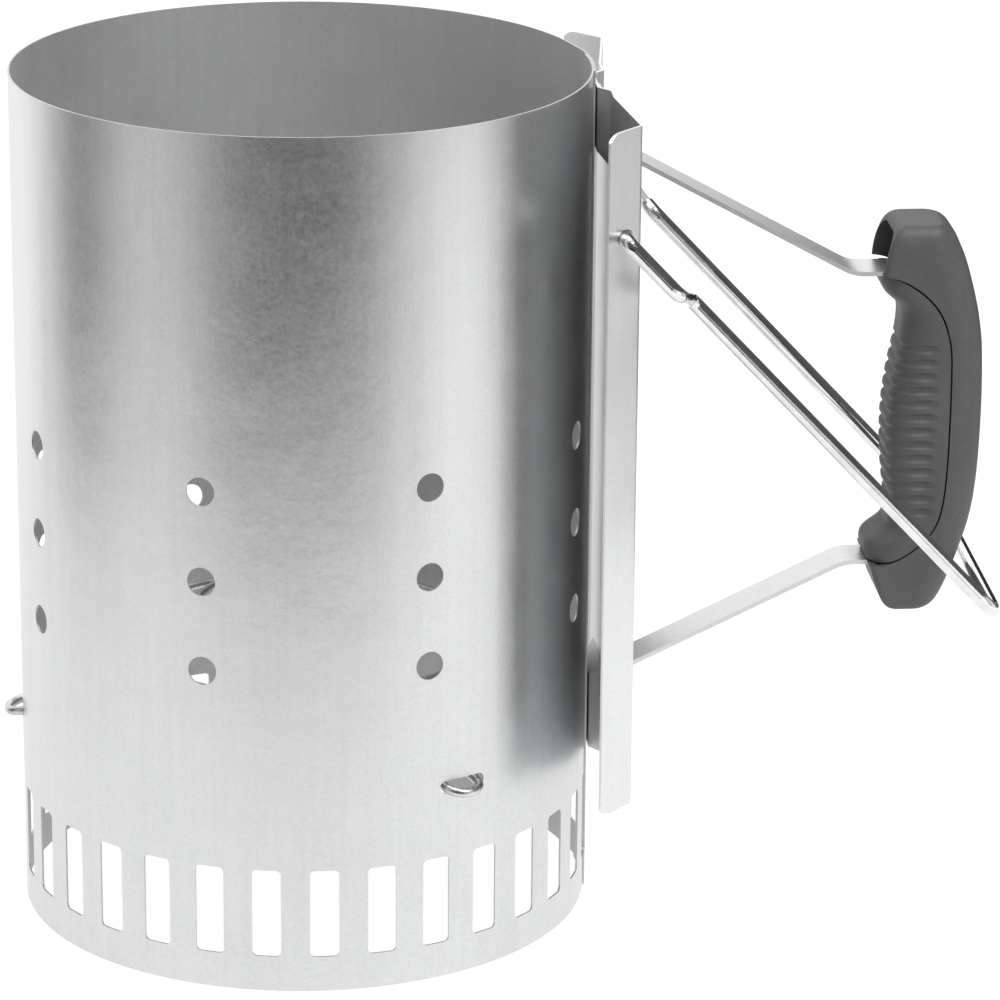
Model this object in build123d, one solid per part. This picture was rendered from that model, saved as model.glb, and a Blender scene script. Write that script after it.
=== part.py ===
from build123d import *
import os
import math

os.makedirs("parts", exist_ok=True)

# Chimney charcoal starter. Units mm, +Z up, origin on the chimney axis at the
# plane it stands on, +X towards the handle.

# ---- chimney tube (rolled sheet, lap seam behind the heat shield) ----
TUBE_H = 285.0
TUBE_R = 95.0
SHEET = 0.6
LAP_GAP = 0.05
LAP_INNER = 7.5        # inner layer ends at this angle, deg
LAP_JOG_A = 16.0       # outer layer starts to step out here
LAP_JOG_B = 10.0       # and has stepped out here
LAP_OUTER = -7.5       # outer layer ends at this angle

HOLE_D = 9.5
HOLE_ROWS = (109.0, 139.0, 169.0)
HOLE_COLS = 8
SLOT_W = 9.5
SLOT_Z0 = 12.0
SLOT_Z1 = 42.0
SLOT_R = 1.6
SLOT_N = 31
SLOT_PITCH = 11.41     # deg, counted from the side opposite the handle

# ---- grate ----
LEG_D = 3.0
LEG_HALF = 6.0
LEG_ANGLES = (60.0, 180.0, -60.0)
LEG_WALL_Z = 65.6
LEG_PROFILE = ((10.5, 107.0), (61.0, 86.0), (88.0, 67.1))
LEG_TIP = 99.7
RING_D = 2.5
RING_R = (14.0, 36.5, 61.0, 82.0)
WIRE_SLOT_W = 17.0
WIRE_SLOT_Z = (64.0, 68.3)

# ---- heat shield ----
SH_T = 0.8
SH_Z0 = 49.5
SH_Z1 = 279.0
SH_X0 = 100.4          # outer face at the middle
SH_YB = 24.0           # first crease
SH_XC, SH_YC = 105.0, 61.0    # outer corner
SH_XF, SH_YF = 93.4, 74.0     # free edge of the splayed flange
SH_CORNER = 4.5
BOSS_IN = 95.75        # inner face of the pressed bosses, on the tube
BOSS_HW = 9.0
BOSS_HW_TOP = 14.0
BOSS_UP = (254.6, 258.6)
BOSS_LOW = (79.2, 74.7)

# ---- strap ----
ST_T = 1.5
ST_W = 16.0
ST_FOOT_X = 97.32
ST_UP_TOP = 277.0
ST_UP_BEND = 260.2
ST_UP_FLAT = 214.05
ST_UP_X = 182.3
ST_LO_BOT = 53.5
ST_LO_BEND = 72.2
ST_LO_FLAT = 113.2
ST_LO_X = 181.8
ST_BACK_X = 217.4
BOLT_Z = (269.5, 61.0)
BOLT_D = 4.0

# ---- grip ----
GRIP_WALL = 2.6
PART_GAP = 0.3         # half the joint line between the two grip shells
SCREW_Z = (196.0, 127.5)
SCREW_D = 3.5

# ---- bail ----
BAIL_D = 5.0
PIVOT_X = 99.2
PIVOT_Z = 244.2
BAIL_ANGLE = 46.73     # below horizontal at rest
BAIL_L = 184.5
BAIL_OUT = 72.6
BAIL_IN = 54.5
BAIL_JOG = (24.5, 33.0)   # along the arm, where it steps inwards


def pol(r, a):
    return (r * math.cos(math.radians(a)), r * math.sin(math.radians(a)))


def rounded_path(points, radii):
    """Straight runs through the points with round bends at the inner ones."""
    pts = [Vector(*p) for p in points]
    edges = []
    cur = pts[0]
    for i in range(1, len(pts) - 1):
        a = (pts[i - 1] - pts[i]).normalized()
        b = (pts[i + 1] - pts[i]).normalized()
        r = radii[i - 1]
        half = math.acos(max(-1.0, min(1.0, a.dot(b)))) / 2
        t = r / math.tan(half)
        p1 = pts[i] + a * t
        p2 = pts[i] + b * t
        bis = (a + b).normalized()
        mid = pts[i] + bis * (r / math.sin(half) - r)
        if (p1 - cur).length > 1e-4:
            edges.append(Edge.make_line(cur, p1))
        edges.append(Edge.make_three_point_arc(p1, mid, p2))
        cur = p2
    if (pts[-1] - cur).length > 1e-4:
        edges.append(Edge.make_line(cur, pts[-1]))
    return Wire(edges)


def wire_rod(points, radii, dia):
    path = rounded_path(points, radii)
    e0 = path.edges()[0]
    pl = Plane(origin=path @ 0, z_dir=path % 0)
    return sweep(pl * Circle(dia / 2), path=path)


def one(shape):
    s = shape.solids()
    s = sorted(s, key=lambda q: -q.volume)
    return s[0]


# =====================================================================
# chimney body
# =====================================================================
ro, ri = TUBE_R, TUBE_R - SHEET
lo, li = TUBE_R + LAP_GAP + SHEET, TUBE_R + LAP_GAP


def arc(r, a, b):
    return ThreePointArc(pol(r, a), pol(r, (a + b) / 2), pol(r, b))


with BuildPart() as bp:
    with BuildSketch() as bs:
        with BuildLine() as bl:
            arc(ro, LAP_INNER, -180)
            arc(ro, -180, LAP_JOG_A - 360)
            Line(pol(ro, LAP_JOG_A), pol(lo, LAP_JOG_B))
            arc(lo, LAP_JOG_B, LAP_OUTER)
            Line(pol(lo, LAP_OUTER), pol(li, LAP_OUTER))
            arc(li, LAP_OUTER, LAP_JOG_B)
            Line(pol(li, LAP_JOG_B), pol(ri, LAP_JOG_A))
            arc(ri, LAP_JOG_A, 180)
            arc(ri, -180, LAP_INNER)
            Line(pol(ri, LAP_INNER), pol(ro, LAP_INNER))
        make_face()
    extrude(amount=TUBE_H)
body = bp.part

cutters = []
for i in range(HOLE_COLS):
    a = 22.5 + 45.0 * i
    for z in HOLE_ROWS:
        pl = Plane(origin=(*pol(85, a), z), z_dir=(*pol(1, a), 0))
        cutters.append(extrude(pl * Circle(HOLE_D / 2), 20))
for k in range(-(SLOT_N // 2), SLOT_N // 2 + 1):
    a = 180.0 + SLOT_PITCH * k
    pl = Plane(origin=(*pol(85, a), (SLOT_Z0 + SLOT_Z1) / 2),
               x_dir=(-math.sin(math.radians(a)), math.cos(math.radians(a)), 0),
               z_dir=(*pol(1, a), 0))
    cutters.append(extrude(pl * RectangleRounded(SLOT_W, SLOT_Z1 - SLOT_Z0, SLOT_R), 20))
for a in LEG_ANGLES:
    zc = sum(WIRE_SLOT_Z) / 2
    hh = WIRE_SLOT_Z[1] - WIRE_SLOT_Z[0]
    pl = Plane(origin=(*pol(85, a), zc),
               x_dir=(-math.sin(math.radians(a)), math.cos(math.radians(a)), 0),
               z_dir=(*pol(1, a), 0))
    cutters.append(extrude(pl * RectangleRounded(WIRE_SLOT_W, hh, hh / 2 - 0.1), 20))
for z in BOLT_Z:
    cutters.append(extrude(Plane(origin=(85, 0, z), z_dir=(1, 0, 0)) * Circle(BOLT_D / 2 + 0.1), 20))
body = body - cutters
chimney_body = one(body)

# =====================================================================
# heat shield: shallow V sheet, splayed flanges, two pressed bosses
# =====================================================================


def offset_pts(pts, d):
    """Offset an open polyline sideways by d, with mitred corners."""
    out = []
    n = len(pts)
    for i in range(n):
        dirs = []
        if i > 0:
            dirs.append((pts[i][0] - pts[i - 1][0], pts[i][1] - pts[i - 1][1]))
        if i < n - 1:
            dirs.append((pts[i + 1][0] - pts[i][0], pts[i + 1][1] - pts[i][1]))
        ns = []
        for dx, dy in dirs:
            l = math.hypot(dx, dy)
            ns.append((-dy / l, dx / l))
        if len(ns) == 1:
            nx, ny = ns[0]
            out.append((pts[i][0] + nx * d, pts[i][1] + ny * d))
        else:
            sx, sy = ns[0][0] + ns[1][0], ns[0][1] + ns[1][1]
            l2 = sx * sx + sy * sy
            out.append((pts[i][0] + 2 * sx / l2 * d, pts[i][1] + 2 * sy / l2 * d))
    return out


half = [(SH_XF, -SH_YF), (SH_XC, -SH_YC), (SH_X0, -SH_YB)]
outer_pts = half + [(x, -y) for x, y in reversed(half)]
inner_pts = offset_pts(outer_pts, SH_T)
with BuildPart() as sp:
    with BuildSketch(Plane.XY.offset(SH_Z0)):
        with BuildLine():
            Polyline(*(outer_pts + list(reversed(inner_pts))), close=True)
        make_face()
    extrude(amount=SH_Z1 - SH_Z0)
shield = sp.part
# soften the creases
for (x, y), rr in (((SH_XC, -SH_YC), 2.0), ((SH_XC, SH_YC), 2.0), ((SH_X0, -SH_YB), 6.0), ((SH_X0, SH_YB), 6.0)):
    e = shield.edges().filter_by(Axis.Z).sort_by_distance((x, y, (SH_Z0 + SH_Z1) / 2))[0]
    shield = fillet(e, rr + (SH_T if rr < 3 else 0))
for i, rr in ((1, 1.2), (4, 1.2)):
    x, y = inner_pts[i]
    e = shield.edges().filter_by(Axis.Z).sort_by_distance((x, y, (SH_Z0 + SH_Z1) / 2))[0]
    shield = fillet(e, rr)


def frustum(x_a, hw_a, za, x_b, hw_b, zb):
    """Four sided frustum between the planes x_a and x_b."""
    def rect(x, hw, z):
        return Plane(origin=(x, 0, (z[0] + z[1]) / 2), x_dir=(0, 1, 0), z_dir=(1, 0, 0)) * Rectangle(2 * hw, z[1] - z[0])
    return loft([rect(x_b, hw_b, zb), rect(x_a, hw_a, za)], ruled=True)


xin = SH_X0 - SH_T
bo = BOSS_IN + SH_T
xm = SH_X0 - SH_T / 2


def lerp(a, b, t):
    return a + (b - a) * t


t_m = (xm - BOSS_IN) / (xin - BOSS_IN)
b_add = [
    frustum(xm, lerp(BOSS_HW + SH_T, BOSS_HW_TOP + SH_T, t_m), (lerp(BOSS_UP[1] - SH_T, BOSS_UP[0] - SH_T, t_m), SH_Z1),
            BOSS_IN, BOSS_HW + SH_T, (BOSS_UP[1] - SH_T, SH_Z1)),
    frustum(xm, lerp(BOSS_HW + SH_T, BOSS_HW_TOP + SH_T, t_m), (SH_Z0, lerp(BOSS_LOW[1] + SH_T, BOSS_LOW[0] + SH_T, t_m)),
            BOSS_IN, BOSS_HW + SH_T, (SH_Z0, BOSS_LOW[1] + SH_T)),
]
xo = SH_X0 + 0.4
t_o = (xo - bo) / (SH_X0 - bo)
b_cut = [
    frustum(xo, lerp(BOSS_HW, BOSS_HW_TOP, t_o), (lerp(BOSS_UP[1], BOSS_UP[0], t_o), SH_Z1 + 5),
            bo, BOSS_HW, (BOSS_UP[1], SH_Z1 + 5)),
    frustum(xo, lerp(BOSS_HW, BOSS_HW_TOP, t_o), (SH_Z0 - 5, lerp(BOSS_LOW[1], BOSS_LOW[0], t_o)),
            bo, BOSS_HW, (SH_Z0 - 5, BOSS_LOW[1])),
]
shield = shield + b_add
shield = shield - b_cut
# rounded free corners, seen from the front
outline = extrude(Plane(origin=(80, 0, (SH_Z0 + SH_Z1) / 2), x_dir=(0, 1, 0), z_dir=(1, 0, 0))
                  * RectangleRounded(2 * SH_YF, SH_Z1 - SH_Z0, SH_CORNER), 40)
shield = shield & outline
for z in BOLT_Z:
    shield = shield - extrude(Plane(origin=(90, 0, z), z_dir=(1, 0, 0)) * Circle(BOLT_D / 2 + 0.1), 20)
# pivot holes for the bail, punched square to the bail's own ends
for s in (-1, 1):
    shield = shield - extrude(Plane(origin=(PIVOT_X, s * 63, PIVOT_Z), z_dir=(0, s, 0)) * Circle(BAIL_D / 2 + 0.1), 9)
heat_shield = one(shield)

# =====================================================================
# strap
# =====================================================================
st_pts = [(ST_FOOT_X, 0, ST_UP_TOP), (ST_FOOT_X, 0, ST_UP_BEND), (ST_UP_X, 0, ST_UP_FLAT),
          (ST_BACK_X, 0, ST_UP_FLAT), (ST_BACK_X, 0, ST_LO_FLAT), (ST_LO_X, 0, ST_LO_FLAT),
          (ST_FOOT_X, 0, ST_LO_BEND), (ST_FOOT_X, 0, ST_LO_BOT)]
st_path = rounded_path(st_pts, [3.0, 14.0, 4.0, 4.0, 14.0, 3.0])
st_sec = Plane(origin=st_pts[0], x_dir=(0, 1, 0), z_dir=(0, 0, -1)) * Rectangle(ST_W, ST_T)
strap = sweep(st_sec, path=st_path)
# rounded ends of the two feet
for z_end, sgn in ((ST_UP_TOP, 1), (ST_LO_BOT, -1)):
    blank = Pos(ST_FOOT_X, 0, z_end - sgn * 3) * Box(ST_T + 1, ST_W + 2, 6.02)
    keep = extrude(Plane(origin=(ST_FOOT_X - 2, 0, z_end - sgn * 6), x_dir=(0, 1, 0), z_dir=(1, 0, 0))
                   * RectangleRounded(ST_W, 12, 4), 4)
    strap = strap - (blank - keep)
for z in BOLT_Z:
    strap = strap - extrude(Plane(origin=(90, 0, z), z_dir=(1, 0, 0)) * Circle(BOLT_D / 2 + 0.1), 20)
for z in SCREW_Z:
    strap = strap - extrude(Plane(origin=(ST_BACK_X - 3, 0, z), z_dir=(1, 0, 0)) * Circle(SCREW_D / 2 + 0.2), 6)
handle_strap = one(strap)

# =====================================================================
# grip: two moulded shells round the strap
# sections: z, x towards the body, x away from it, half width, corner radius
# =====================================================================
SECTIONS = [
    (97.3, 198.6, 208.6, 11.4, 4.0),
    (97.9, 197.0, 210.4, 12.8, 5.5),
    (99.2, 195.5, 212.6, 13.9, 7.5),
    (101.6, 193.9, 214.5, 14.7, 9.0),
    (105.7, 192.3, 216.6, 15.2, 10.0),
    (109.2, 191.0, 218.0, 15.5, 10.5),
    (112.4, 190.1, 219.2, 15.5, 10.5),
    (115.4, 189.1, 220.2, 15.5, 10.5),
    (118.2, 188.6, 221.1, 15.5, 10.5),
    (120.6, 189.2, 221.9, 15.5, 10.5),
    (123.2, 192.2, 222.7, 15.5, 10.5),
    (126.0, 195.4, 223.5, 15.5, 10.5),
    (129.5, 196.4, 224.3, 15.5, 10.5),
    (134.0, 196.3, 225.1, 15.5, 10.5),
    (142.0, 195.3, 226.0, 15.5, 10.5),
    (150.0, 194.6, 226.5, 15.5, 10.5),
    (159.0, 194.3, 226.8, 15.5, 10.5),
    (168.0, 194.6, 226.9, 15.5, 10.5),
    (177.0, 195.6, 226.8, 15.5, 10.5),
    (185.0, 197.0, 226.5, 15.5, 10.5),
    (192.0, 198.3, 226.0, 15.5, 10.5),
    (197.5, 198.8, 225.2, 15.5, 10.5),
    (201.4, 198.4, 224.5, 15.5, 10.5),
    (204.4, 196.5, 223.8, 15.5, 10.5),
    (207.0, 193.6, 223.2, 15.5, 10.5),
    (210.0, 191.8, 222.4, 15.5, 10.5),
    (215.0, 191.4, 221.0, 15.5, 10.5),
    (220.0, 192.0, 219.3, 15.4, 10.3),
    (225.0, 193.4, 217.1, 14.9, 9.6),
    (228.4, 195.0, 215.3, 13.9, 8.0),
    (230.4, 196.9, 213.2, 12.4, 5.8),
    (231.1, 198.6, 211.2, 11.0, 4.2),
]


def section(z, x0, x1, hw, rf, rb):
    """Plan section of the grip: corners of radius rf towards the body, rb away from it."""
    top = (x1 - x0) / 2 - 0.3
    rf, rb = min(rf, top, hw - 0.3), min(rb, top, hw - 0.3)
    c = 1 - math.sqrt(0.5)
    pts = []
    for cx, sx, sy, r in ((x0, 1, 1, rf), (x1, -1, 1, rb), (x1, -1, -1, rb), (x0, 1, -1, rf)):
        on_end = (cx, sy * (hw - r))
        mid = (cx + sx * r * c, sy * (hw - r * c))
        on_side = (cx + sx * r, sy * hw)
        first = (on_end, mid, on_side) if sx * sy > 0 else (on_side, mid, on_end)
        pts.append(first)
    edges = []
    for i, (a, m, b) in enumerate(pts):
        edges.append(Edge.make_three_point_arc((*a, z), (*m, z), (*b, z)))
        n = pts[(i + 1) % 4][0]
        edges.append(Edge.make_line((*b, z), (*n, z)))
    return Face(Wire(edges))


def grip_blank(front_radius, inset=0.0, z_low=None, z_high=None):
    secs = []
    for z, x0, x1, hw, r in SECTIONS:
        if z_low is not None and z < z_low:
            continue
        if z_high is not None and z > z_high:
            continue
        rf = r if front_radius is None else min(r, front_radius)
        secs.append(section(z, x0 + inset, x1 - inset, hw - inset, max(rf - inset, 0.8), max(r - inset, 1.5)))
    return loft(secs)


grip = grip_blank(None)        # round towards the body: outside of the front shell
grip_b = grip_blank(1.8)       # square cut towards the body: outside of the back shell

# joint line between the shells, in the XZ plane, top to bottom
LINE = [(184.0, 214.6), (191.2, 214.6), (195.4, 213.9), (199.7, 212.1), (203.7, 209.4), (207.8, 205.6),
        (211.0, 201.0), (213.0, 196.0), (214.3, 190.0), (214.8, 181.3), (214.8, 160.1), (214.2, 142.5),
        (213.2, 134.0), (211.4, 128.0), (207.8, 122.8), (203.0, 118.6), (197.7, 115.6), (192.4, 114.2),
        (184.0, 114.0)]


def shifted(d):
    return offset_pts(LINE, d)


def region(pts):
    """Everything on the body side of the joint line, as a Y prism."""
    with BuildPart() as rp:
        with BuildSketch(Plane(origin=(0, 40, 0), x_dir=(1, 0, 0), z_dir=(0, -1, 0))):
            with BuildLine():
                Spline(*pts[1:-1])
                Polyline(pts[1], (170, pts[1][1]), (170, pts[-2][1]), pts[-2])
            make_face()
        extrude(amount=80)
    return rp.part


front_zone = region(shifted(-PART_GAP))
back_zone = region(shifted(PART_GAP))

# channel that the strap lies in
ch_sec = Plane(origin=st_pts[0], x_dir=(0, 1, 0), z_dir=(0, 0, -1)) * Rectangle(ST_W + 0.2, ST_T + 0.2)
channel = sweep(ch_sec, path=st_path)

# ---- front shell ----
front = grip & front_zone
f_core = grip_blank(None, inset=3.2, z_low=129, z_high=198)
front = front - f_core
for z in SCREW_Z:
    post = extrude(Plane(origin=(200.0, 0, z), z_dir=(1, 0, 0)) * Circle(4.4), 14.4)
    front = front + (post & front_zone & grip)
    front = front - extrude(Plane(origin=(205.0, 0, z), z_dir=(1, 0, 0)) * Circle(SCREW_D / 2 + 0.02), 20.0)
front = front - channel

# finger grooves round the front of the grip
GROOVE_N = 13
GROOVE_TOP = 189.6
GROOVE_PITCH = 4.74
GROOVE_R = 1.9


def at_z(z):
    for a, b in zip(SECTIONS, SECTIONS[1:]):
        if a[0] <= z <= b[0]:
            t = (z - a[0]) / (b[0] - a[0])
            return [lerp(p, q, t) for p, q in zip(a, b)]


for k in range(GROOVE_N):
    z = GROOVE_TOP - GROOVE_PITCH * k
    _, x0, x1, hw, r = at_z(z)
    o = 0.9
    xf, yf = x0 - o, hw + o
    path = rounded_path([(212.7, -(yf + 1.6), z), (207.5, -yf, z), (xf, -yf, z), (xf, yf, z), (207.5, yf, z), (212.7, yf + 1.6, z)],
                        [6.0, r + o - 1.4, r + o - 1.4, 6.0])
    pl = Plane(origin=path @ 0, z_dir=path % 0)
    front = front - sweep(pl * Circle(GROOVE_R), path=path)
grip_front = one(front)

# ---- back shell: hollow, its upper end open towards the body over the strap ----
back = grip_b - back_zone
b_core = grip_blank(1.8, inset=GRIP_WALL, z_low=99.5, z_high=229)
mouth_w, mouth_top, mouth_low = 26.4, 228.4, 212.0
mouth_face = (Plane(origin=(170.0, 0, (mouth_top + mouth_low) / 2), x_dir=(0, 1, 0), z_dir=(1, 0, 0))
              * (RectangleRounded(mouth_w, mouth_top - mouth_low, 7.0)
                 + Pos(0, -2.0, 0) * Rectangle(mouth_w, mouth_top - mouth_low - 12.0)
                 + Pos(0, -(mouth_top - mouth_low) / 2 + 5.0, 0) * Rectangle(mouth_w, 10.0)))
mouth = extrude(mouth_face, 38.0)
back = back - b_core - (mouth - front_zone)
SCREW_SEAT = 221.6
for z in SCREW_Z:
    post = extrude(Plane(origin=(ST_BACK_X + ST_T / 2 + 0.1, 0, z), z_dir=(1, 0, 0)) * Circle(4.8), 7.0)
    back = back + (post & grip_b)
    back = back - extrude(Plane(origin=(210, 0, z), z_dir=(1, 0, 0)) * Circle(SCREW_D / 2 + 0.2), 14.0)
    back = back - extrude(Plane(origin=(SCREW_SEAT, 0, z), z_dir=(1, 0, 0)) * Circle(3.3), 10.0)
# cross ribs that seat the strap where it turns
for z0, z1 in ((216.0, 229.0), (99.8, 111.4)):
    for y in (-5.0, 5.0):
        web = Pos(212.0, y, (z0 + z1) / 2) * Box(1.6, 1.6, z1 - z0)
        back = back + (web & grip_b)
back = back - channel
grip_back = one(back)

# =====================================================================
# fasteners
# =====================================================================


def grip_screw(z):
    head = extrude(Plane(origin=(SCREW_SEAT + 0.02, 0, z), z_dir=(1, 0, 0)) * Circle(3.0), 2.2)
    head = chamfer(head.edges().sort_by(Axis.X)[-1], 0.5)
    shank = extrude(Plane(origin=(SCREW_SEAT + 0.1, 0, z), z_dir=(-1, 0, 0)) * Circle(SCREW_D / 2), 15.6)
    s = head + shank
    for ang in (0, 90):
        s = s - Pos(SCREW_SEAT + 2.22, 0, z) * Rot(ang, 0, 0) * Box(2.2, 0.8, 3.6)
    return one(s)


def pan_bolt(z):
    x0 = ST_FOOT_X + ST_T / 2 + 0.02
    head = extrude(Plane(origin=(x0, 0, z), z_dir=(1, 0, 0)) * Circle(4.0), 2.4)
    head = fillet(head.edges().sort_by(Axis.X)[-1], 1.6)
    shank = extrude(Plane(origin=(x0 + 0.1, 0, z), z_dir=(-1, 0, 0)) * Circle(BOLT_D / 2), x0 + 0.1 - 88.6)
    shank = chamfer(shank.edges().sort_by(Axis.X)[0], 0.4)
    s = head + shank
    for ang in (0, 90):
        s = s - Pos(x0 + 2.4, 0, z) * Rot(ang, 0, 0) * Box(2.0, 0.9, 4.6)
    return one(s)


X_WASH = 94.24


def washer(z):
    pl = Plane(origin=(X_WASH - 0.8, 0, z), z_dir=(1, 0, 0))
    return one(extrude(pl * (Circle(4.5) - Circle(BOLT_D / 2 + 0.15)), 0.8))


def nut(z):
    x0 = X_WASH - 0.82
    pl = Plane(origin=(x0 - 3.2, 0, z), z_dir=(1, 0, 0))
    n = extrude(pl * (RegularPolygon(7.0 / math.sqrt(3), 6) - Circle(BOLT_D / 2 + 0.02)), 3.2)
    cone_cut = extrude(pl * Circle(7.0 / math.sqrt(3) + 0.02), 3.2)
    cone_cut = chamfer(cone_cut.edges().filter_by(GeomType.CIRCLE), 0.45)
    return one(n & cone_cut)


# =====================================================================
# bail
# =====================================================================
ca, sa = math.cos(math.radians(BAIL_ANGLE)), math.sin(math.radians(BAIL_ANGLE))


def bail_pt(u, y):
    return (PIVOT_X + u * ca, y, PIVOT_Z - u * sa)


j0, j1 = BAIL_JOG
bail_pts = [bail_pt(0, -59.0), bail_pt(0, -BAIL_OUT), bail_pt(j0, -BAIL_OUT), bail_pt(j1, -BAIL_IN),
            bail_pt(BAIL_L, -BAIL_IN), bail_pt(BAIL_L, BAIL_IN), bail_pt(j1, BAIL_IN), bail_pt(j0, BAIL_OUT),
            bail_pt(0, BAIL_OUT), bail_pt(0, 59.0)]
bail = wire_rod(bail_pts, [3.2, 5.5, 5.5, 9.0, 9.0, 5.5, 5.5, 3.2], BAIL_D)
bail_handle = one(bail)

# =====================================================================
# grate
# =====================================================================
wall_k = 0.2126


def leg_z(s):
    (s0, z0), (s1, z1), (s2, z2) = LEG_PROFILE
    if s <= s1:
        return z0 + (z1 - z0) * (s - s0) / (s1 - s0)
    return z1 + (z2 - z1) * (s - s1) / (s2 - s1)


def grate_leg(angle):
    (s0, z0), (s1, z1), (s2, z2) = LEG_PROFILE
    zt = LEG_WALL_Z + (95.0 - LEG_TIP) * wall_k
    h = LEG_HALF
    pts = [(s0, h, z0), (s1, h, z1), (s2, h, z2), (LEG_TIP, h, zt), (LEG_TIP, -h, zt), (s2, -h, z2), (s1, -h, z1), (s0, -h, z0)]
    rod = wire_rod(pts, [15.0, 10.0, h - 0.02, h - 0.02, 10.0, 15.0], LEG_D)
    return one(Rot(0, 0, angle) * rod)


def grate_ring(r):
    s = math.sqrt(r * r - LEG_HALF ** 2)
    (s0, z0), (s1, z1), (s2, z2) = LEG_PROFILE
    k = (z0 - z1) / (s1 - s0) if s < s1 else (z1 - z2) / (s2 - s1)
    up = (LEG_D / 2 + RING_D / 2 + 0.05) * math.sqrt(1 + k * k)
    return one(Pos(0, 0, leg_z(s) + up) * Torus(r, RING_D / 2))


nodes = {
    "chimney_body": chimney_body,
    "heat_shield": heat_shield,
    "handle_strap": handle_strap,
    "grip_front": grip_front,
    "grip_back": grip_back,
    "grip_screw_upper": grip_screw(SCREW_Z[0]),
    "grip_screw_lower": grip_screw(SCREW_Z[1]),
    "bolt_upper": pan_bolt(BOLT_Z[0]),
    "bolt_lower": pan_bolt(BOLT_Z[1]),
    "washer_upper": washer(BOLT_Z[0]),
    "washer_lower": washer(BOLT_Z[1]),
    "nut_upper": nut(BOLT_Z[0]),
    "nut_lower": nut(BOLT_Z[1]),
    "bail_handle": bail_handle,
}
for i, a in enumerate(LEG_ANGLES):
    nodes["grate_leg_%d" % (i + 1)] = grate_leg(a)
for i, r in enumerate(RING_R):
    nodes["grate_ring_%d" % (i + 1)] = grate_ring(r)

for name, shape in nodes.items():
    bb = shape.bounding_box()
    print("%-18s vol %9.1f  x %7.2f %7.2f  y %7.2f %7.2f  z %7.2f %7.2f  valid %s"
          % (name, shape.volume, bb.min.X, bb.max.X, bb.min.Y, bb.max.Y, bb.min.Z, bb.max.Z, shape.is_valid))
    export_step(shape, "parts/%s.step" % name)
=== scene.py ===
import bpy
import math
from mathutils import Matrix, Vector

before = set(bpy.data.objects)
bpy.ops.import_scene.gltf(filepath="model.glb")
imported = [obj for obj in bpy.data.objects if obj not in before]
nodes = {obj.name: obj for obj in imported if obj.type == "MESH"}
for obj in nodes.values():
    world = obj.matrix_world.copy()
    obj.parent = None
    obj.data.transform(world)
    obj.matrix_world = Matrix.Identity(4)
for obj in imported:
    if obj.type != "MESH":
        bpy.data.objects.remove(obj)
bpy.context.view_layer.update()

scene = bpy.context.scene


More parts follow.
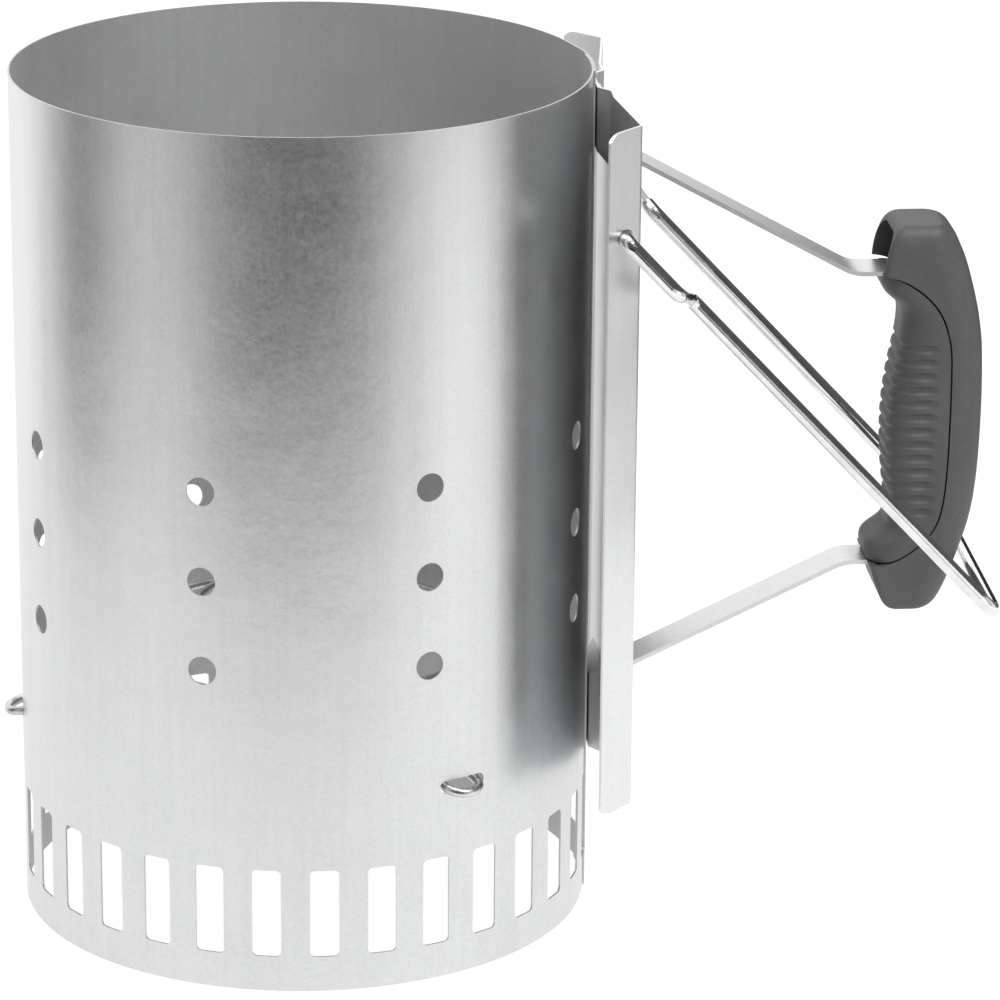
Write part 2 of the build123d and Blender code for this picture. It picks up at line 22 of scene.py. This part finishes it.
# ---------------------------------------------------------------------
# small helpers for procedural materials, all in object space (metres)
# ---------------------------------------------------------------------
class Mat:
    def __init__(self, name):
        self.m = bpy.data.materials.new(name)
        self.m.use_nodes = True
        self.t = self.m.node_tree
        self.t.nodes.clear()
        self.out = self.t.nodes.new("ShaderNodeOutputMaterial")
        self.bsdf = self.t.nodes.new("ShaderNodeBsdfPrincipled")
        self.t.links.new(self.bsdf.outputs[0], self.out.inputs["Surface"])
        self.coord = self.t.nodes.new("ShaderNodeTexCoord")

    def link(self, a, b):
        self.t.links.new(a, b)

    def mapped(self, scale=(1, 1, 1), rot=(0, 0, 0), loc=(0, 0, 0)):
        n = self.t.nodes.new("ShaderNodeMapping")
        n.inputs["Scale"].default_value = scale
        n.inputs["Rotation"].default_value = rot
        n.inputs["Location"].default_value = loc
        self.link(self.coord.outputs["Object"], n.inputs["Vector"])
        return n.outputs["Vector"]

    def noise(self, vec, scale, detail=2.0, rough=0.5, distortion=0.0):
        n = self.t.nodes.new("ShaderNodeTexNoise")
        n.inputs["Scale"].default_value = scale
        n.inputs["Detail"].default_value = detail
        n.inputs["Roughness"].default_value = rough
        n.inputs["Distortion"].default_value = distortion
        if vec is not None:
            self.link(vec, n.inputs["Vector"])
        return n.outputs["Fac"]

    def voronoi(self, vec, scale, feature="F1", out="Distance", rand=1.0):
        n = self.t.nodes.new("ShaderNodeTexVoronoi")
        n.feature = feature
        n.inputs["Scale"].default_value = scale
        n.inputs["Randomness"].default_value = rand
        self.link(vec, n.inputs["Vector"])
        return n.outputs[out]

    def ramp(self, fac, stops, interp="LINEAR"):
        n = self.t.nodes.new("ShaderNodeValToRGB")
        n.color_ramp.interpolation = interp
        e = n.color_ramp.elements
        while len(e) > 1:
            e.remove(e[-1])
        e[0].position = stops[0][0]
        e[0].color = self.rgba(stops[0][1])
        for p, c in stops[1:]:
            k = e.new(p)
            k.color = self.rgba(c)
        self.link(fac, n.inputs["Fac"])
        return n.outputs["Color"]

    @staticmethod
    def rgba(c):
        return (c, c, c, 1) if isinstance(c, (int, float)) else (c[0], c[1], c[2], 1)

    def remap(self, fac, a, b, lo, hi):
        n = self.t.nodes.new("ShaderNodeMapRange")
        n.inputs["From Min"].default_value = a
        n.inputs["From Max"].default_value = b
        n.inputs["To Min"].default_value = lo
        n.inputs["To Max"].default_value = hi
        self.link(fac, n.inputs["Value"])
        return n.outputs["Result"]

    def math(self, op, a, b=None, clamp=False):
        n = self.t.nodes.new("ShaderNodeMath")
        n.operation = op
        n.use_clamp = clamp
        for i, v in enumerate((a, b)):
            if v is None:
                continue
            if isinstance(v, (int, float)):
                n.inputs[i].default_value = v
            else:
                self.link(v, n.inputs[i])
        return n.outputs[0]

    def mix(self, fac, a, b, blend="MIX"):
        n = self.t.nodes.new("ShaderNodeMix")
        n.data_type = "RGBA"
        n.blend_type = blend
        if isinstance(fac, (int, float)):
            n.inputs[0].default_value = fac
        else:
            self.link(fac, n.inputs[0])
        for i, v in ((6, a), (7, b)):
            if isinstance(v, (int, float, tuple)):
                n.inputs[i].default_value = self.rgba(v)
            else:
                self.link(v, n.inputs[i])
        return n.outputs[2]

    def bump(self, height, strength, distance, normal=None):
        n = self.t.nodes.new("ShaderNodeBump")
        n.inputs["Strength"].default_value = strength
        n.inputs["Distance"].default_value = distance
        self.link(height, n.inputs["Height"])
        if normal is not None:
            self.link(normal, n.inputs["Normal"])
        return n.outputs["Normal"]

    def near(self, point, radius):
        """1 at a point of the object, falling to 0 at the radius."""
        n = self.t.nodes.new("ShaderNodeVectorMath")
        n.operation = "DISTANCE"
        n.inputs[1].default_value = point
        self.link(self.coord.outputs["Object"], n.inputs[0])
        return self.remap(n.outputs["Value"], 0.0, radius, 1.0, 0.0)

    def set(self, socket, value):
        s = self.bsdf.inputs[socket]
        if isinstance(value, (int, float)):
            s.default_value = value
        elif isinstance(value, tuple):
            s.default_value = self.rgba(value)
        else:
            self.link(value, s)


def steel_sheet(name, light, dark, rough, grain=1.0, dents=(), scratch=0.5, tube=False):
    """Aluminised sheet: fine grain, faint rolling streaks, cloudy sheen."""
    m = Mat(name)
    fine = m.noise(m.mapped(), 1500.0, 2.0, 0.6)
    speck = m.noise(m.mapped(loc=(0.3, 0.1, 0.7)), 700.0, 3.0, 0.65)
    cloud = m.noise(m.mapped(loc=(1.3, 2.1, 0.2)), 38.0, 4.0, 0.6)
    roll = m.noise(m.mapped(scale=(1, 1, 0.04), loc=(0.2, 0.4, 0)), 420.0, 3.0, 0.6)
    grainy = m.math("ADD", m.math("MULTIPLY", fine, 0.55), m.math("MULTIPLY", speck, 0.45))
    tone = m.math("ADD", m.math("MULTIPLY", grainy, 0.62),
                  m.math("ADD", m.math("MULTIPLY", cloud, 0.22), m.math("MULTIPLY", roll, 0.16)))
    col = m.ramp(tone, [(0.34, dark), (0.5, tuple((a + b) / 2 for a, b in zip(dark, light))), (0.66, light)])
    # fine hairline scratches, lying mostly up the sheet
    hair = m.voronoi(m.mapped(scale=(1, 1, 0.02), rot=(0.05, 0.03, 0.0)), 260.0, "DISTANCE_TO_EDGE")
    worn = m.noise(m.mapped(loc=(5.0, 1.0, 3.0)), 55.0, 2.0, 0.5)
    line = m.math("MULTIPLY", m.remap(hair, 0.0, 0.012, 1.0, 0.0), m.remap(worn, 0.6, 0.75, 0.0, scratch))
    line = m.math("MAXIMUM", line, 0.0, clamp=True)
    col = m.mix(line, col, tuple(min(1.0, c * 1.12) for c in light))
    inner = None
    if tube:
        # 1 on faces that look towards the Z axis, 0 on faces that look away
        flat = m.t.nodes.new("ShaderNodeVectorMath")
        flat.operation = "MULTIPLY"
        flat.inputs[1].default_value = (10.0, 10.0, 0.0)
        m.link(m.coord.outputs["Object"], flat.inputs[0])
        dot = m.t.nodes.new("ShaderNodeVectorMath")
        dot.operation = "DOT_PRODUCT"
        m.link(flat.outputs["Vector"], dot.inputs[0])
        m.link(m.coord.outputs["Normal"], dot.inputs[1])
        inner = m.remap(dot.outputs["Value"], -0.3, 0.3, 1.0, 0.0)
        # painted shade: the inside's colour is darkened to 0.78 for the shade in the hollow; the inside is also
        # rougher and less metallic than the outside
        col = m.mix(m.math("MULTIPLY", inner, 1.0), col, m.mix(1.0, col, (0.78, 0.78, 0.78), "MULTIPLY"))
        m.set("Metallic", m.math("SUBTRACT", 0.98, m.math("MULTIPLY", inner, 0.08)))
    else:
        m.set("Metallic", 0.92)
    m.set("Base Color", col)
    r = m.remap(m.math("ADD", m.math("MULTIPLY", speck, 0.6), m.math("MULTIPLY", cloud, 0.4)), 0.3, 0.7, rough - 0.045, rough + 0.05)
    r = m.math("SUBTRACT", r, m.math("MULTIPLY", line, 0.08))
    if inner is not None:
        r = m.math("ADD", r, m.math("MULTIPLY", inner, 0.34))
    m.set("Roughness", r)
    h = m.math("ADD", m.math("MULTIPLY", fine, 0.6), m.math("MULTIPLY", speck, 0.4))
    nrm = m.bump(h, 0.35 * grain, 0.00006)
    nrm = m.bump(cloud, 0.25, 0.0009, nrm)
    for p, rad, depth in dents:
        d = m.near(p, rad)
        d = m.math("SMOOTH_MAX", d, 0.0)
        nrm = m.bump(d, 0.6, depth, nrm)
    m.set("Normal", nrm)
    return m.m


def plated_wire(name, light, dark, rough, grain=0.3):
    """Bright plated wire: near mirror, fine grain, small pits, a little dulling."""
    m = Mat(name)
    dull = m.noise(m.mapped(), 130.0, 3.0, 0.6)
    fine = m.noise(m.mapped(loc=(0.4, 0.9, 0.1)), 1400.0, 2.0, 0.5)
    spot = m.voronoi(m.mapped(), 420.0)
    pit = m.remap(spot, 0.06, 0.12, 1.0, 0.0)
    pit = m.math("MULTIPLY", pit, m.remap(dull, 0.52, 0.62, 0.0, 0.8), clamp=True)
    col = m.ramp(dull, [(0.35, dark), (0.6, light)])
    col = m.mix(m.math("MULTIPLY", pit, 0.35), col, tuple(c * 0.45 for c in dark))
    m.set("Base Color", col)
    m.set("Metallic", 1.0)
    r = m.remap(m.math("ADD", m.math("MULTIPLY", dull, 0.7), m.math("MULTIPLY", fine, 0.3)), 0.32, 0.7, rough - 0.035, rough + 0.06)
    r = m.math("ADD", r, m.math("MULTIPLY", pit, 0.2))
    m.set("Roughness", r)
    nrm = m.bump(fine, grain, 0.00003)
    nrm = m.bump(dull, 0.15, 0.0004, nrm)
    m.set("Normal", nrm)
    return m.m


def moulded_plastic(name, light, dark, rough):
    """Filled nylon: spark-eroded texture, scuffed a little on the ribs."""
    m = Mat(name)
    tex = m.noise(m.mapped(), 2200.0, 2.0, 0.55)
    pebble = m.voronoi(m.mapped(), 1500.0)
    flow = m.noise(m.mapped(scale=(1, 1, 0.4)), 60.0, 4.0, 0.6)
    speck = m.noise(m.mapped(loc=(0.7, 0.2, 0.9)), 900.0, 3.0, 0.7)
    tone = m.math("ADD", m.math("MULTIPLY", flow, 0.55), m.math("MULTIPLY", speck, 0.45))
    col = m.ramp(tone, [(0.36, dark), (0.64, light)])
    scuff = m.remap(m.noise(m.mapped(scale=(1, 1, 2.2), loc=(2.0, 0.3, 0.8)), 150.0, 4.0, 0.7), 0.62, 0.74, 0.0, 1.0)
    col = m.mix(m.math("MULTIPLY", scuff, 0.18, clamp=True), col, tuple(c * 1.7 for c in light))
    m.set("Base Color", col)
    m.set("Specular IOR Level", 0.45)
    m.set("Roughness", m.remap(m.math("ADD", m.math("MULTIPLY", tex, 0.4), m.math("MULTIPLY", flow, 0.6)), 0.35, 0.65, rough - 0.05, rough + 0.06))
    h = m.math("ADD", m.math("MULTIPLY", tex, 0.5), m.math("MULTIPLY", pebble, 0.5))
    nrm = m.bump(h, 0.45, 0.00012)
    nrm = m.bump(flow, 0.2, 0.0006, nrm)
    m.set("Normal", nrm)
    return m.m


def dent_at(angle, z, r=0.095):
    return (r * math.cos(math.radians(angle)), r * math.sin(math.radians(angle)), z)


MATS = {
    "tube_sheet": steel_sheet("tube_sheet_steel", (0.74, 0.745, 0.75), (0.60, 0.605, 0.61), 0.34, tube=True,
                              dents=((dent_at(-37.0, 0.226), 0.011, 0.0010), (dent_at(-8.0, 0.243), 0.008, -0.0008))),
    "shield_sheet": steel_sheet("shield_sheet_steel", (0.80, 0.805, 0.81), (0.68, 0.685, 0.69), 0.34, grain=1.2),
    "strap_steel": steel_sheet("strap_steel", (0.72, 0.725, 0.73), (0.58, 0.585, 0.59), 0.34, grain=1.0, scratch=0.7),
    "grip_plastic": moulded_plastic("grip_nylon", (0.074, 0.074, 0.076), (0.056, 0.056, 0.058), 0.50),
    "fastener_steel": plated_wire("fastener_zinc", (0.70, 0.70, 0.69), (0.52, 0.52, 0.51), 0.26, grain=0.5),
    "bail_chrome": plated_wire("bail_bright_plate", (0.80, 0.80, 0.80), (0.68, 0.68, 0.68), 0.11),
    "grate_wire": plated_wire("grate_plated_wire", (0.66, 0.66, 0.655), (0.46, 0.46, 0.455), 0.24, grain=0.6),
}
SLOT_OF = {
    "chimney_body": "tube_sheet", "heat_shield": "shield_sheet", "handle_strap": "strap_steel",
    "grip_front": "grip_plastic", "grip_back": "grip_plastic", "bail_handle": "bail_chrome",
}
for name, obj in nodes.items():
    slot = SLOT_OF.get(name)
    if slot is None:
        slot = "grate_wire" if name.startswith("grate_") else "fastener_steel"
    mesh_slots = obj.material_slots
    if len(mesh_slots) == 0:
        obj.data.materials.append(MATS[slot])
    for s in obj.material_slots:
        s.material = MATS[slot]

# ---------------------------------------------------------------------
# studio: pale floor, soft lights, a glowing strip seen only in gloss, dark in a few stretches
# ---------------------------------------------------------------------
floor_mesh = bpy.data.meshes.new("floor")
S = 6.0
floor_mesh.from_pydata([(-S, -S, 0), (S, -S, 0), (S, S, 0), (-S, S, 0)], [], [(0, 1, 2, 3)])
floor = bpy.data.objects.new("floor", floor_mesh)
floor.location = (0, 0, -0.0004)
scene.collection.objects.link(floor)
fm = Mat("floor_pale")
fm.set("Base Color", fm.ramp(fm.noise(fm.mapped(), 3.0, 3.0, 0.5), [(0.3, (0.15, 0.15, 0.15)), (0.7, (0.17, 0.17, 0.17))]))
fm.set("Roughness", 0.7)
fm.set("Emission Color", (1.0, 1.0, 1.0))
fm.set("Emission Strength", 0.92)
fm.set("Specular IOR Level", 0.2)
floor_mesh.materials.append(fm.m)


# what the sheet mirrors: a soft strip round the front of the set, whose
# brightness changes with direction (degrees from the front, right is plus)
STRIP = [(-150, 1.2), (-138, 1.3), (-122, 1.25), (-108, 0.75), (-95, 0.10), (-84, 0.26), (-73, 0.60),
         (-60, 0.72), (-48, 0.66), (-38, 0.36), (-27, 0.10), (-14, 0.0), (0, 0.0), (10, 0.0), (20, 0.14),
         (30, 0.55), (40, 0.88), (52, 1.28), (62, 1.40), (72, 0.95), (80, 0.30), (86, 0.90), (95, 0.90),
         (108, 0.28), (122, 0.06), (145, 0.02)]


def strip_at(a):
    for (a0, e0), (a1, e1) in zip(STRIP, STRIP[1:]):
        if a0 <= a <= a1:
            return e0 + (e1 - e0) * (a - a0) / (a1 - a0)


def upper_at(a):
    """The strip above the tube's reflections: dark behind the bail's side of the set."""
    return 0.10 if -30 <= a <= 110 else strip_at(a)


def mirror_strip(name, radius, z0, z1, steps, glow):
    me = bpy.data.meshes.new(name)
    lo_a, hi_a = STRIP[0][0], STRIP[-1][0]
    vs, fs, cols = [], [], []
    for i in range(steps + 1):
        a = lo_a + (hi_a - lo_a) * i / steps
        x, y = radius * math.sin(math.radians(a)), -radius * math.cos(math.radians(a))
        vs += [(x, y, z0), (x, y, z1)]
        cols += [glow(a)] * 2
    for i in range(steps):
        fs.append((2 * i, 2 * i + 2, 2 * i + 3, 2 * i + 1))
    me.from_pydata(vs, [], fs)
    att = me.attributes.new("glow", "FLOAT", "POINT")
    att.data.foreach_set("value", cols)
    ob = bpy.data.objects.new(name, me)
    scene.collection.objects.link(ob)
    mt = bpy.data.materials.new(name)
    mt.use_nodes = True
    nt = mt.node_tree
    nt.nodes.clear()
    o = nt.nodes.new("ShaderNodeOutputMaterial")
    e = nt.nodes.new("ShaderNodeEmission")
    at = nt.nodes.new("ShaderNodeAttribute")
    at.attribute_name = "glow"
    nt.links.new(at.outputs["Fac"], e.inputs["Strength"])
    nt.links.new(e.outputs[0], o.inputs["Surface"])
    me.materials.append(mt)
    ob.visible_camera = False
    ob.visible_diffuse = False
    ob.visible_shadow = False
    ob.visible_transmission = False
    ob.visible_volume_scatter = False
    return ob


mirror_strip("mirror_strip_low", 0.60, 0.0, 0.22, 148, strip_at)
mirror_strip("mirror_strip_high", 0.60, 0.22, 0.90, 148, upper_at)


def softbox(name, centre, target, w, h, radiance):
    li = bpy.data.lights.new(name, "AREA")
    li.shape = "RECTANGLE"
    li.size, li.size_y = w, h
    li.energy = radiance * math.pi * w * h
    ob = bpy.data.objects.new(name, li)
    ob.location = centre
    d = Vector(target) - Vector(centre)
    ob.rotation_mode = "QUATERNION"
    ob.rotation_quaternion = d.to_track_quat("-Z", "Y")
    ob.visible_camera = False
    scene.collection.objects.link(ob)
    return ob


softbox("soft_key", (0.78, -0.86, 1.45), (0, 0, 0.2), 0.7, 0.7, 14.0)
softbox("soft_fill", (-1.1, -0.9, 1.3), (0, 0, 0.2), 0.9, 0.9, 1.0)
softbox("soft_top", (0.0, 0.1, 1.9), (0.05, 0, 0.15), 1.3, 1.3, 1.6)
softbox("soft_back", (0.1, 1.5, 0.9), (0, 0, 0.15), 1.6, 1.0, 0.8)

world = bpy.data.worlds.new("studio")
scene.world = world
world.use_nodes = True
bg = world.node_tree.nodes["Background"] if "Background" in world.node_tree.nodes else world.node_tree.nodes.new("ShaderNodeBackground")
bg.inputs["Color"].default_value = (1, 1, 1, 1)
bg.inputs["Strength"].default_value = 0.60
world_out = [n for n in world.node_tree.nodes if n.type == "OUTPUT_WORLD"]
world_out = world_out[0] if world_out else world.node_tree.nodes.new("ShaderNodeOutputWorld")
world.node_tree.links.new(bg.outputs[0], world_out.inputs["Surface"])

scene.view_settings.view_transform = "Standard"
scene.view_settings.look = "None"
scene.view_settings.exposure = 0.0
scene.view_settings.gamma = 1.0

# ---------------------------------------------------------------------
# camera
# ---------------------------------------------------------------------
cam_data = bpy.data.cameras.new("cam")
cam_data.lens = 175.76
cam_data.sensor_width = 36.0
cam_data.clip_start = 0.05
cam_data.clip_end = 60.0
cam = bpy.data.objects.new("cam", cam_data)
R = Matrix(((0.996522, 0.018836, -0.081178), (-0.082960, 0.316487, -0.944962), (0.007893, 0.948410, 0.316948)))
M = R.to_4x4()
M.translation = Vector((-0.0670, -1.5476, 0.6541))
cam.matrix_world = M
scene.collection.objects.link(cam)
scene.camera = cam
